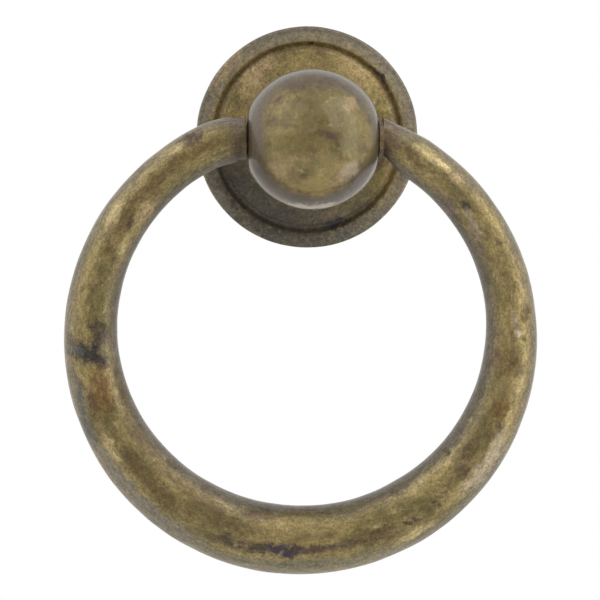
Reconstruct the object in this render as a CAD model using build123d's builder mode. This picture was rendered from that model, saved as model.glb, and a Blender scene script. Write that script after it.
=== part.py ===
from build123d import *

import os
from math import atan2, cos, degrees, isclose, radians, sin, sqrt, tan

os.makedirs("parts", exist_ok=True)

# Ring pull for a drawer or cabinet door: a cast ring hangs from a ball on a short post,
# and the post clamps a turned backplate to the front. All sizes are in millimetres.
# The origin is the centre of the backplate's back. +Z is up and the ball points to -Y,
# so the wood lies on the +Y side of the XZ plane.

# Backplate, turned: radii from the post's axis and heights above the wood
plate_radius = 14.4
plate_edge_chamfer = 0.25
rim_inner_radius = 12.75
rim_inner_height = 2.62
rim_outer_height = 2.4
rim_crown = 0.1
rim_outer_round = 0.5
rim_inner_round = 0.15
groove_depth = 0.62
field_radius = 11.42
field_height = 2.6
field_crown = 0.15
land_radius = 6.8
land_height = 3.4
rim_land_radius = 12.6
back_relief = 0.6

# Ball post, turned from one piece
ball_radius = 9.0
pivot_height = 14.5
ball_flat = 8.25
flat_edge_round = 0.3
foot_radius = 6.3
foot_thickness = 1.0
foot_round = 0.35
cove_radius = 5.6
cove_sagitta = 0.45
neck_radius = 4.2
spigot_radius = 3.9
spigot_recess = 0.4
spigot_clearance = 0.1
mouth_chamfer = 0.4

# Ring: an oval hoop of round bar, thick at the bottom, thin where its ends enter the ball
hoop_half_width = 26.75
hoop_half_height = 26.4
hoop_offset = -1.35
hoop_drop = 24.62
bar_mean_diameter = 7.03
bar_swell = 1.62
bar_belly = 0.24
bar_lean = 0.13
bar_stations = 31
straight_from = 14.6
bend_from = -14.0
taper_from = 13.0
taper_rate = 0.44
flare_from = -17.0
flare_rate = 0.05
right_shoulder = 9.3
left_shoulder = -10.06
shoulder_round = 0.25
shoulder_allowance = 3.0
shoulder_depth = 6.0

# Collars turned on the ring's ends, and the thinner pins that turn in the ball's cross hole
right_collar_radius = 2.3
left_collar_radius = 2.65
collar_gap = 0.4
collar_root = 0.5
pin_radius = 1.8
pin_clearance = 0.05
pin_tip = 3.4
pin_tip_chamfer = 0.3

# Fixing screw, M4, through a drawer front of the usual thickness
front_thickness = 18.0
screw_radius = 1.97
screw_length = 25.0
screw_tip_chamfer = 0.4
head_radius = 4.0
head_height = 2.4
head_edge_height = 1.2
slot_width = 1.2
slot_depth = 1.0
tapped_radius = 2.0
tapped_depth = 9.0
drill_point_angle = 118.0

# Turned profiles are drawn with the radius first and the height above the wood second,
# then spun about the post's axis.
turning = Plane(origin=(0, 0, 0), x_dir=(1, 0, 0), z_dir=(0, 0, -1))
ring_plane = Plane.XZ.offset(pivot_height)


# Backplate: low rounded rim, coved groove and gently crowned field, hollow behind
with BuildPart() as backplate:
    hole_radius = spigot_radius + spigot_clearance
    with BuildSketch(turning):
        with BuildLine():
            land = Polyline((hole_radius, back_relief), (hole_radius, land_height),
                            (land_radius, land_height))
            field = SagittaArc(land @ 1, (field_radius, field_height), field_crown)
            groove = SagittaArc(field @ 1, (rim_inner_radius, rim_inner_height), -groove_depth)
            rim = SagittaArc(groove @ 1, (plate_radius, rim_outer_height), rim_crown)
            Polyline(rim @ 1, (plate_radius, plate_edge_chamfer),
                     (plate_radius - plate_edge_chamfer, 0), (rim_land_radius, 0),
                     (rim_land_radius - back_relief, back_relief), land @ 0)
        make_face()
    revolve(axis=Axis.Y)
    for radius, rounding in ((plate_radius, rim_outer_round),
                             (rim_inner_radius, rim_inner_round)):
        corners = edges().filter_by(GeomType.CIRCLE)
        corners = corners.filter_by(lambda corner: isclose(corner.radius, radius))
        fillet(corners.sort_by(Axis.Y)[0], rounding)
backplate.part.label = "backplate"


# Ball post: tapped spigot, foot flange, coved neck and ball, turned as one profile
with BuildPart() as ball_post:
    foot_top = land_height + foot_thickness
    ball_start = pivot_height - sqrt(ball_radius**2 - neck_radius**2)
    drill_tip = tapped_depth + tapped_radius / tan(radians(drill_point_angle / 2))
    with BuildSketch(turning):
        with BuildLine():
            spigot = Polyline((0, drill_tip), (tapped_radius, tapped_depth),
                              (tapped_radius, spigot_recess), (spigot_radius, spigot_recess),
                              (spigot_radius, land_height), (foot_radius, land_height),
                              (foot_radius, foot_top - foot_round))
            foot_edge = TangentArc(spigot @ 1, (foot_radius - foot_round, foot_top),
                                   tangent=(0, 1))
            foot_face = Line(foot_edge @ 1, (cove_radius, foot_top))
            cove = SagittaArc(foot_face @ 1, (neck_radius, ball_start), -cove_sagitta)
            ball = ThreePointArc(cove @ 1, (ball_radius, pivot_height),
                                 (0, pivot_height + ball_radius))
            Line(ball @ 1, spigot @ 0)
        make_face()
    revolve(axis=Axis.Y)
    # Flats where the ring's shoulders come up to the ball, their edges worn round
    split(bisect_by=Plane.YZ.offset(ball_flat), keep=Keep.BOTTOM)
    split(bisect_by=Plane.YZ.offset(-ball_flat), keep=Keep.TOP)
    flats = faces().filter_by(Axis.X)
    fillet(flats.edges(), flat_edge_round)
    # Cross hole for both pins, with its mouths eased
    with Locations(Plane(origin=(0, -pivot_height, 0), z_dir=(1, 0, 0))):
        Hole(pin_radius + pin_clearance, depth=ball_radius)
    chamfer(edges(Select.NEW).filter_by(GeomType.CIRCLE), mouth_chamfer)
ball_post.part.label = "ball_post"


def hoop_angle(x):
    """Angle, in degrees, at which the hoop's upper half passes the given x."""
    across = (x - hoop_offset) / hoop_half_width
    return degrees(atan2(sqrt(1 - across**2), across))


def bar_diameter(place):
    """Thickness of the ring's bar at a place on its centre line: it depends on the angle off
    the bottom, and besides the upper right end is tapered and the upper left end flared."""
    off_bottom = atan2(place.X - hoop_offset, -(place.Z + hoop_drop))
    swell = bar_swell * cos(off_bottom) + bar_belly * cos(2 * off_bottom)
    diameter = bar_mean_diameter + swell - bar_lean * sin(off_bottom)
    if cos(off_bottom) < 0 < place.X:
        diameter -= taper_rate * max(0, taper_from - place.X)
    elif cos(off_bottom) < 0:
        diameter += flare_rate * max(0, place.X - flare_from)
    return diameter


# Ring: circles of the wanted diameter stand along the oval centre line, and one skin
# passes through them, so that the bar swells all the way round
with BuildPart() as ring:
    with BuildLine(ring_plane) as centre_line:
        first_angle = hoop_angle(straight_from)
        hoop = EllipticalCenterArc((hoop_offset, -hoop_drop), hoop_half_width,
                                   hoop_half_height, start_angle=first_angle,
                                   arc_size=hoop_angle(bend_from) - first_angle - 360)
        # The right end runs on straight until it meets the pivot axis
        outward = (hoop % 0) * -1
        reach = -(hoop @ 0).Z / outward.Z + shoulder_allowance
        Line(hoop @ 0, hoop @ 0 + outward * reach)
        # The left end is bent level, in line with the pivot axis
        steepness = atan2((hoop % 1).Z, (hoop % 1).X)
        run = -(hoop @ 1).Z / tan(steepness / 2)
        TangentArc(hoop @ 1, hoop @ 1 + Vector(run, 0, -(hoop @ 1).Z), tangent=hoop % 1)
    spine = centre_line.wires()[0]
    for station in range(bar_stations):
        place = spine @ (station / (bar_stations - 1))
        facing = spine % (station / (bar_stations - 1))
        with BuildSketch(Plane(origin=place, x_dir=(0, 1, 0), z_dir=facing)):
            Circle(bar_diameter(place) / 2)
    sweep(path=spine, multisection=True)
    # Shoulders: both ends cut square to the pivot axis, then rounded over
    with Locations(((left_shoulder + right_shoulder) / 2, -pivot_height, 0)):
        Box(right_shoulder - left_shoulder, 2 * shoulder_depth, 2 * shoulder_depth,
            mode=Mode.SUBTRACT)
    fillet(faces().filter_by(Axis.X).edges(), shoulder_round)
    # Collars and pins, coaxial with the pivot, rooted inside the shoulders
    for side, shoulder, collar_radius in ((1, right_shoulder, right_collar_radius),
                                          (-1, left_shoulder, left_collar_radius)):
        root = shoulder + side * collar_root
        for radius, tip in ((collar_radius, ball_flat + collar_gap), (pin_radius, pin_tip)):
            with BuildSketch(Plane.YZ.offset(root)):
                with Locations((-pivot_height, 0)):
                    Circle(radius)
            extrude(amount=side * tip - root)
    tips = faces().filter_by(Axis.X).sort_by(lambda face: abs(face.center().X))[:2]
    chamfer(tips.edges(), pin_tip_chamfer)
ring.part.label = "ring"


# Fixing screw: slotted pan head behind the drawer front, shank through it into the post
with BuildPart() as fixing_screw:
    head_top = front_thickness + head_height
    tip = front_thickness - screw_length
    with BuildSketch(Plane.XY):
        with BuildLine():
            shank = Polyline((0, tip), (screw_radius - screw_tip_chamfer, tip),
                             (screw_radius, tip + screw_tip_chamfer),
                             (screw_radius, front_thickness), (head_radius, front_thickness),
                             (head_radius, front_thickness + head_edge_height))
            dome = EllipticalCenterArc((0, front_thickness + head_edge_height), head_radius,
                                       head_height - head_edge_height, start_angle=0,
                                       arc_size=90)
            Line(dome @ 1, shank @ 0)
        make_face()
    revolve(axis=Axis.Y)
    with BuildSketch(Plane.XZ.offset(-head_top)):
        Rectangle(3 * head_radius, slot_width)
    extrude(amount=slot_depth, mode=Mode.SUBTRACT)
fixing_screw.part.label = "fixing_screw"


for piece in (backplate, ball_post, ring, fixing_screw):
    export_step(piece.part, f"parts/{piece.part.label}.step")
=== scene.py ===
"""Looks for a round ring pull in aged brass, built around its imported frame.

The backplate, the ball on its post and the fixing screw are turned, and the ring is drawn
out section by section. The plate, the ball and the ring are slightly uneven, and the ring has
dents and pits as well. All are dressed in procedural finishes. The studio holds a pale floor,
soft lamps and a camera that stands where the photograph was taken from.
"""

import logging
import math
from dataclasses import dataclass, field
from enum import Enum

import bmesh
import bpy
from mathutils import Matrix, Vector


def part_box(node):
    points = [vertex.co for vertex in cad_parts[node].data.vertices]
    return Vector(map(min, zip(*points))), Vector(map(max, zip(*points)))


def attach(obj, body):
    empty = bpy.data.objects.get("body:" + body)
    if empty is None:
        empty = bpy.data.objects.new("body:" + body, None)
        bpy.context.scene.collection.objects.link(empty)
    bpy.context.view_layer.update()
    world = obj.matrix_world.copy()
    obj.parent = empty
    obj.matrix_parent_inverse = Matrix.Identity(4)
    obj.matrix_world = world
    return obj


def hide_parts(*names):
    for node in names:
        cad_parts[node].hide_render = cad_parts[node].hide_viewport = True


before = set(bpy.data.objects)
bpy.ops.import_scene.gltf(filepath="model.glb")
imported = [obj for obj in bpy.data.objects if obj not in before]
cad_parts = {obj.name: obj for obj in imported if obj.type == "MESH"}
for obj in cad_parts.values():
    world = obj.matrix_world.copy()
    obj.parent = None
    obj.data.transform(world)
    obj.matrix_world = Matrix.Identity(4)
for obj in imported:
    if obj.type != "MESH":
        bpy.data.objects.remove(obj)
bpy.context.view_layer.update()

MM = 0.001

log = logging.getLogger("ring_pull")


class Lathe(Enum):
    """The line that a turned piece is spun about."""

    POST = "Y"
    PIVOT = "X"


class Tone(Enum):
    """Colours that old brass takes on, with the colours of painted highlights and painted shadow among them,
    as linear red, green and blue.
    """

    BRIGHT = (0.56, 0.45, 0.235)
    # Pale: used only for painted highlights and painted reflections.
    PALE = (0.50, 0.43, 0.33)
    TAN = (0.42, 0.31, 0.18)
    GOLD = (0.34, 0.265, 0.115)
    OLIVE = (0.175, 0.145, 0.058)
    PINK = (0.24, 0.16, 0.12)
    RUST = (0.18, 0.098, 0.035)
    BROWN = (0.105, 0.067, 0.028)
    MAROON = (0.095, 0.05, 0.034)
    DARK = (0.062, 0.043, 0.03)
    BLACK = (0.026, 0.025, 0.029)
    VIOLET = (0.048, 0.036, 0.052)
    MAUVE = (0.175, 0.135, 0.118)
    MAUVE_DARK = (0.095, 0.056, 0.046)
    GREY = (0.225, 0.205, 0.165)
    BLUE = (0.115, 0.12, 0.122)
    # Slate: used only for painted shadow over the plate's lower half.
    SLATE = (0.068, 0.062, 0.05)
    SAGE = (0.15, 0.145, 0.11)
    UMBER = (0.20, 0.145, 0.085)
    ASH = (0.118, 0.10, 0.076)
    # Dusk: used only for the painted reflection on the ball's sides.
    DUSK = (0.10, 0.084, 0.064)
    GREEN = (0.20, 0.23, 0.15)


def deselect_everything() -> None:
    """Leave no object selected, so that the next operator acts on nothing by chance."""
    bpy.ops.object.select_all(action="DESELECT")


def hold(piece: bpy.types.Object) -> None:
    """Make one piece the only selected and active object.

    Args:
        piece: The object that the next operators act on.
    """
    deselect_everything()
    piece.select_set(True)
    bpy.context.view_layer.objects.active = piece


def arc(centre: tuple, radii: tuple, start: float, end: float, steps: int) -> list:
    """Points on a stretch of an ellipse, for a profile.

    Args:
        centre: Radius and height of the ellipse's centre.
        radii: Its half axes along the radius and along the height.
        start: First angle in degrees, from the direction of growing radius.
        end: Last angle in degrees.
        steps: Number of chords.

    Returns:
        The points, both ends included.
    """
    points = []
    for step in range(steps + 1):
        angle = math.radians(start + (end - start) * step / steps)
        points.append((centre[0] + radii[0] * math.cos(angle), centre[1] + radii[1] * math.sin(angle)))
    return points


def bowed(start: tuple, end: tuple, rise: float, steps: int) -> list:
    """Points on a shallow bow between two points of a profile.

    Args:
        start: First point, radius and height.
        end: Last point.
        rise: How far the middle stands out, towards growing height.
        steps: Number of chords.

    Returns:
        The points, without the first one.
    """
    points = []
    for step in range(1, steps + 1):
        share = step / steps
        bulge = rise * 4 * share * (1 - share)
        radius = start[0] + (end[0] - start[0]) * share
        height = start[1] + (end[1] - start[1]) * share
        points.append((radius, height + bulge))
    return points


@dataclass(frozen=True)
class StainOrPaintedLight:
    """A stain, a rubbed place, or a painted highlight, reflection or shadow on the front of the brass.

    Attributes:
        x: Its middle, in millimetres to the right of the post.
        z: Its middle, in millimetres above the post.
        length: Half its length, in millimetres.
        width: Half its width, in millimetres.
        slope: Rise of its long side towards the right, in degrees.
        tone: Its colour.
        strength: How strongly it shows, up to 1.
    """

    x: float
    z: float
    length: float
    width: float
    slope: float
    tone: Tone
    strength: float


@dataclass(frozen=True)
class Dent:
    """A hollow pressed into the front of a surface.

    Attributes:
        x: Its middle, in millimetres to the right of the post.
        z: Its middle, in millimetres above the post.
        reach: Its radius, in millimetres.
        depth: How deep it goes, in millimetres; a crumb that stands out counts as negative.
        sharp: True for a pit with a crisp edge.
    """

    x: float
    z: float
    reach: float
    depth: float
    sharp: bool = False


@dataclass(frozen=True)
class Unevenness:
    """Slow waves left in the metal by casting, filing and handling.

    Attributes:
        wave: Length of the waves.
        depth: Height from trough to crest.
        octaves: How many finer waves ride on them.
        still: Value of the noise, from 0 to 1, at which the surface stays where it is.
    """

    wave: float
    depth: float
    octaves: int = 1
    still: float = 0.9


class Workpiece:
    """A mesh under the maker's hands, shaped in edit mode and finished with modifiers."""

    def __init__(self, name: str) -> None:
        """Remember the piece's name; the first tool that is used makes its mesh."""
        self.name = name
        self.object: bpy.types.Object | None = None

    def start_circle(self, sides: int, radius: float, centre: Vector, lathe: Lathe) -> None:
        """Lay down the first circle of a piece and go into edit mode.

        Args:
            sides: Number of its corners.
            radius: Its radius.
            centre: Its centre.
            lathe: The line that it stands square to.
        """
        deselect_everything()
        turn = (math.pi / 2, 0, 0) if lathe is Lathe.POST else (0, math.pi / 2, 0)
        bpy.ops.mesh.primitive_circle_add(vertices=sides, radius=radius, location=centre, rotation=turn)
        self.object = bpy.context.object
        self.object.name = self.name
        self.object.data.name = self.name
        bpy.ops.object.transform_apply(location=True, rotation=True, scale=True)
        bpy.ops.object.mode_set(mode="EDIT")
        bpy.ops.mesh.select_mode(type="VERT")
        bpy.ops.mesh.select_all(action="SELECT")

    def turn(self, profile: list, lathe: Lathe, centre: Vector, sides: int) -> None:
        """Turn a closed or open profile by drawing a circle out ring by ring.

        Args:
            profile: Points of radius and distance along the lathe's line.
            lathe: The line that the profile is spun about.
            centre: Point on that line from which distances count.
            sides: Number of sides round the piece.
        """
        along = Vector((0, -1, 0)) if lathe is Lathe.POST else Vector((1, 0, 0))
        radius, height = profile[0]
        self.start_circle(sides, radius, centre + along * height, lathe)
        for next_radius, next_height in profile[1:]:
            bpy.ops.mesh.extrude_region_move(
                TRANSFORM_OT_translate={"value": along * (next_height - height)}
            )
            grow = next_radius / radius
            scale = (grow, 1, grow) if lathe is Lathe.POST else (1, grow, grow)
            bpy.ops.transform.resize(value=scale, center_override=centre + along * next_height)
            radius, height = next_radius, next_height

    def close(self, merge_gap: float = 0.002 * MM) -> None:
        """Weld a profile that came back to its start, cap what is open and face it outwards.

        Args:
            merge_gap: Points nearer to each other than this become one.
        """
        bpy.ops.mesh.select_all(action="SELECT")
        bpy.ops.mesh.remove_doubles(threshold=merge_gap)
        bpy.ops.mesh.select_all(action="DESELECT")
        bpy.ops.mesh.select_non_manifold()
        bpy.ops.mesh.fill_holes(sides=0)
        bpy.ops.mesh.select_all(action="SELECT")
        bpy.ops.mesh.normals_make_consistent(inside=False)

    def break_edges(self, width: float, sharper_than: float = 28.0) -> None:
        """Round every crisp edge by a narrow bevel, as wear does.

        Args:
            width: Width of the bevel.
            sharper_than: Edges that fold by more degrees than this are broken.
        """
        bpy.ops.mesh.select_mode(type="EDGE")
        bpy.ops.mesh.select_all(action="DESELECT")
        bpy.ops.mesh.edges_select_sharp(sharpness=math.radians(sharper_than))
        bpy.ops.mesh.bevel(offset=width, segments=2, affect="EDGES", clamp_overlap=True)
        bpy.ops.mesh.select_mode(type="VERT")

    def leave_edit(self) -> None:
        """Go back to object mode with the piece held."""
        bpy.ops.object.mode_set(mode="OBJECT")
        hold(self.object)

    def refine(self, levels: int) -> None:
        """Subdivide the whole surface smoothly.

        Args:
            levels: How many times each face is divided.
        """
        hold(self.object)
        bpy.ops.object.modifier_add(type="SUBSURF")
        refining = self.object.modifiers[-1]
        refining.levels = levels
        refining.render_levels = levels
        bpy.ops.object.modifier_apply(modifier=refining.name)

    def roughen(self, waves: list) -> None:
        """Sink the surface by slow noise; only the noise's highest crests rise above it a little.

        Args:
            waves: The kinds of unevenness, from coarse to fine.
        """
        hold(self.object)
        for wave in waves:
            texture = bpy.data.textures.new(f"{self.name}_waves", type="CLOUDS")
            texture.noise_scale = wave.wave
            texture.noise_depth = wave.octaves
            bpy.ops.object.modifier_add(type="DISPLACE")
            push = self.object.modifiers[-1]
            push.texture = texture
            push.texture_coords = "LOCAL"
            push.mid_level = wave.still
            push.strength = wave.depth
            bpy.ops.object.modifier_apply(modifier=push.name)

    def press(self, dents: list, depth_at: object) -> None:
        """Press dents and pits into the surface, each at the nearest point to its place.

        Args:
            dents: The hollows to make.
            depth_at: Function that gives the surface's Y from x and z.
        """
        hold(self.object)
        bpy.ops.object.mode_set(mode="EDIT")
        bpy.ops.mesh.select_mode(type="VERT")
        shape = bmesh.from_edit_mesh(self.object.data)
        for dent in dents:
            place = Vector((dent.x * MM, depth_at(dent.x * MM, dent.z * MM), dent.z * MM))
            bpy.ops.mesh.select_all(action="DESELECT")
            nearest = min(shape.verts, key=lambda vertex: (vertex.co - place).length_squared)
            nearest.select_set(True)
            bpy.ops.transform.translate(
                value=nearest.normal * (-dent.depth * MM),
                use_proportional_edit=True,
                proportional_size=dent.reach * MM,
                proportional_edit_falloff="SPHERE" if dent.sharp else "SMOOTH",
            )
        bpy.ops.object.mode_set(mode="OBJECT")

    def finish(self, body: str, node: str, slot: str, material: bpy.types.Material) -> bpy.types.Object:
        """Smooth the piece, dress it and put it on its body.

        Args:
            body: The moving body that the piece rides on.
            node: The node of the frame that it stands for.
            slot: Name of its material slot; not used.
            material: Its finish.

        Returns:
            The finished object.
        """
        hold(self.object)
        bpy.ops.object.shade_smooth()
        self.object.data.materials.clear()
        self.object.data.materials.append(material)
        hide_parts(node)
        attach(self.object, body)
        log.info("%s: %d faces", self.name, len(self.object.data.polygons))
        return self.object


class Graph:
    """A material's node tree, with one method for each thing that a finish needs."""

    def __init__(self, name: str) -> None:
        """Make the material and its shader.

        Args:
            name: Name of the material.
        """
        self.material = bpy.data.materials.new(name)
        self.material.use_nodes = True
        self.tree = self.material.node_tree
        self.shader = next(node for node in self.tree.nodes if node.type == "BSDF_PRINCIPLED")
        coordinates = self.node("ShaderNodeTexCoord")
        self.place = coordinates.outputs["Object"]
        self.normal = coordinates.outputs["Normal"]

    def node(self, kind: str, **settings: object) -> bpy.types.Node:
        """Add a node and set its properties.

        Args:
            kind: Blender's type name.
            **settings: Properties and their values.

        Returns:
            The node.
        """
        made = self.tree.nodes.new(kind)
        for key, value in settings.items():
            setattr(made, key, value)
        return made

    def feed(self, socket: bpy.types.NodeSocket, value: object) -> None:
        """Link a socket to another, or set it to a plain value.

        Args:
            socket: The input.
            value: An output socket, or a number, vector or colour.
        """
        if isinstance(value, bpy.types.NodeSocket):
            self.tree.links.new(value, socket)
        elif isinstance(value, Tone):
            socket.default_value = (*value.value, 1)
        else:
            socket.default_value = value

    def math(self, operation: str, first: object, second: object = 0.0) -> bpy.types.NodeSocket:
        """Work out one number from two.

        Args:
            operation: Blender's name of the operation.
            first: First value or socket.
            second: Second value or socket.

        Returns:
            The result's socket.
        """
        made = self.node("ShaderNodeMath", operation=operation)
        self.feed(made.inputs[0], first)
        self.feed(made.inputs[1], second)
        return made.outputs[0]

    def times(self, first: object, second: object) -> bpy.types.NodeSocket:
        """The product of two values or sockets."""
        return self.math("MULTIPLY", first, second)

    def plus(self, first: object, second: object) -> bpy.types.NodeSocket:
        """The sum of two values or sockets."""
        return self.math("ADD", first, second)

    def apart(self, across: object, above: object) -> bpy.types.NodeSocket:
        """The distance that two sides at right angles make."""
        squares = self.plus(self.times(across, across), self.times(above, above))
        return self.math("SQRT", squares)

    def split(self, vector: bpy.types.NodeSocket) -> tuple:
        """Take a vector apart.

        Args:
            vector: The vector's socket.

        Returns:
            The sockets of X, Y and Z.
        """
        made = self.node("ShaderNodeSeparateXYZ")
        self.feed(made.inputs[0], vector)
        return made.outputs["X"], made.outputs["Y"], made.outputs["Z"]

    def noise(self, size: float, detail: float, roughness: float = 0.5,
              place: object = None) -> bpy.types.NodeSocket:
        """Cloudy noise from 0 to 1.

        Args:
            size: Length of its largest waves, in metres.
            detail: How many octaves it has.
            roughness: How strong the finer ones are.
            place: Vector socket; the object's own coordinates if None.

        Returns:
            The noise's socket.
        """
        made = self.node("ShaderNodeTexNoise")
        self.feed(made.inputs["Vector"], place or self.place)
        made.inputs["Scale"].default_value = 1 / size
        made.inputs["Detail"].default_value = detail
        made.inputs["Roughness"].default_value = roughness
        return made.outputs["Fac"]

    def bent(self, size: float, reach: float) -> bpy.types.NodeSocket:
        """The object's own coordinates, pushed about by noise.

        Args:
            size: Length of the noise's largest waves, in metres.
            reach: How far it pushes at most.

        Returns:
            The coordinates' socket.
        """
        cloud = self.noise(size, detail=4.0, roughness=0.6).node
        centred = self.node("ShaderNodeVectorMath", operation="SUBTRACT")
        self.feed(centred.inputs[0], cloud.outputs["Color"])
        centred.inputs[1].default_value = (0.5, 0.5, 0.5)
        pushed = self.node("ShaderNodeVectorMath", operation="SCALE")
        self.feed(pushed.inputs[0], centred.outputs[0])
        pushed.inputs["Scale"].default_value = reach
        moved = self.node("ShaderNodeVectorMath", operation="ADD")
        self.feed(moved.inputs[0], pushed.outputs[0])
        self.feed(moved.inputs[1], self.place)
        settled = self.node("ShaderNodeMapping")
        self.feed(settled.inputs["Vector"], moved.outputs[0])
        return settled.outputs["Vector"]

    def between(self, value: object, low: float, high: float, start: float = 0.0,
                end: float = 1.0) -> bpy.types.NodeSocket:
        """Smoothly remap a value from one span to another.

        Args:
            value: The value's socket.
            low: Where the result is start.
            high: Where the result is end.
            start: Result at low.
            end: Result at high.

        Returns:
            The result's socket.
        """
        made = self.node("ShaderNodeMapRange", interpolation_type="SMOOTHSTEP")
        self.feed(made.inputs["Value"], value)
        made.inputs["From Min"].default_value = low
        made.inputs["From Max"].default_value = high
        made.inputs["To Min"].default_value = start
        made.inputs["To Max"].default_value = end
        return made.outputs["Result"]

    def lit(self, colour: object, factor: object, saturation: float) -> bpy.types.NodeSocket:
        """Lighten or darken a colour, and make it stronger or weaker.

        Args:
            colour: The colour's socket.
            factor: How many times lighter it gets.
            saturation: How many times stronger it gets.

        Returns:
            The new colour's socket.
        """
        made = self.node("ShaderNodeHueSaturation")
        made.inputs["Saturation"].default_value = saturation
        self.feed(made.inputs["Value"], factor)
        self.feed(made.inputs["Color"], colour)
        return made.outputs["Color"]

    def mix(self, share: object, first: object, second: object) -> bpy.types.NodeSocket:
        """Blend two colours.

        Args:
            share: How much of the second shows.
            first: Colour or socket.
            second: Colour or socket.

        Returns:
            The blended colour's socket.
        """
        made = self.node("ShaderNodeMix", data_type="RGBA")
        self.feed(made.inputs["Factor"], share)
        self.feed(made.inputs["A"], first)
        self.feed(made.inputs["B"], second)
        return made.outputs["Result"]


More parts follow.
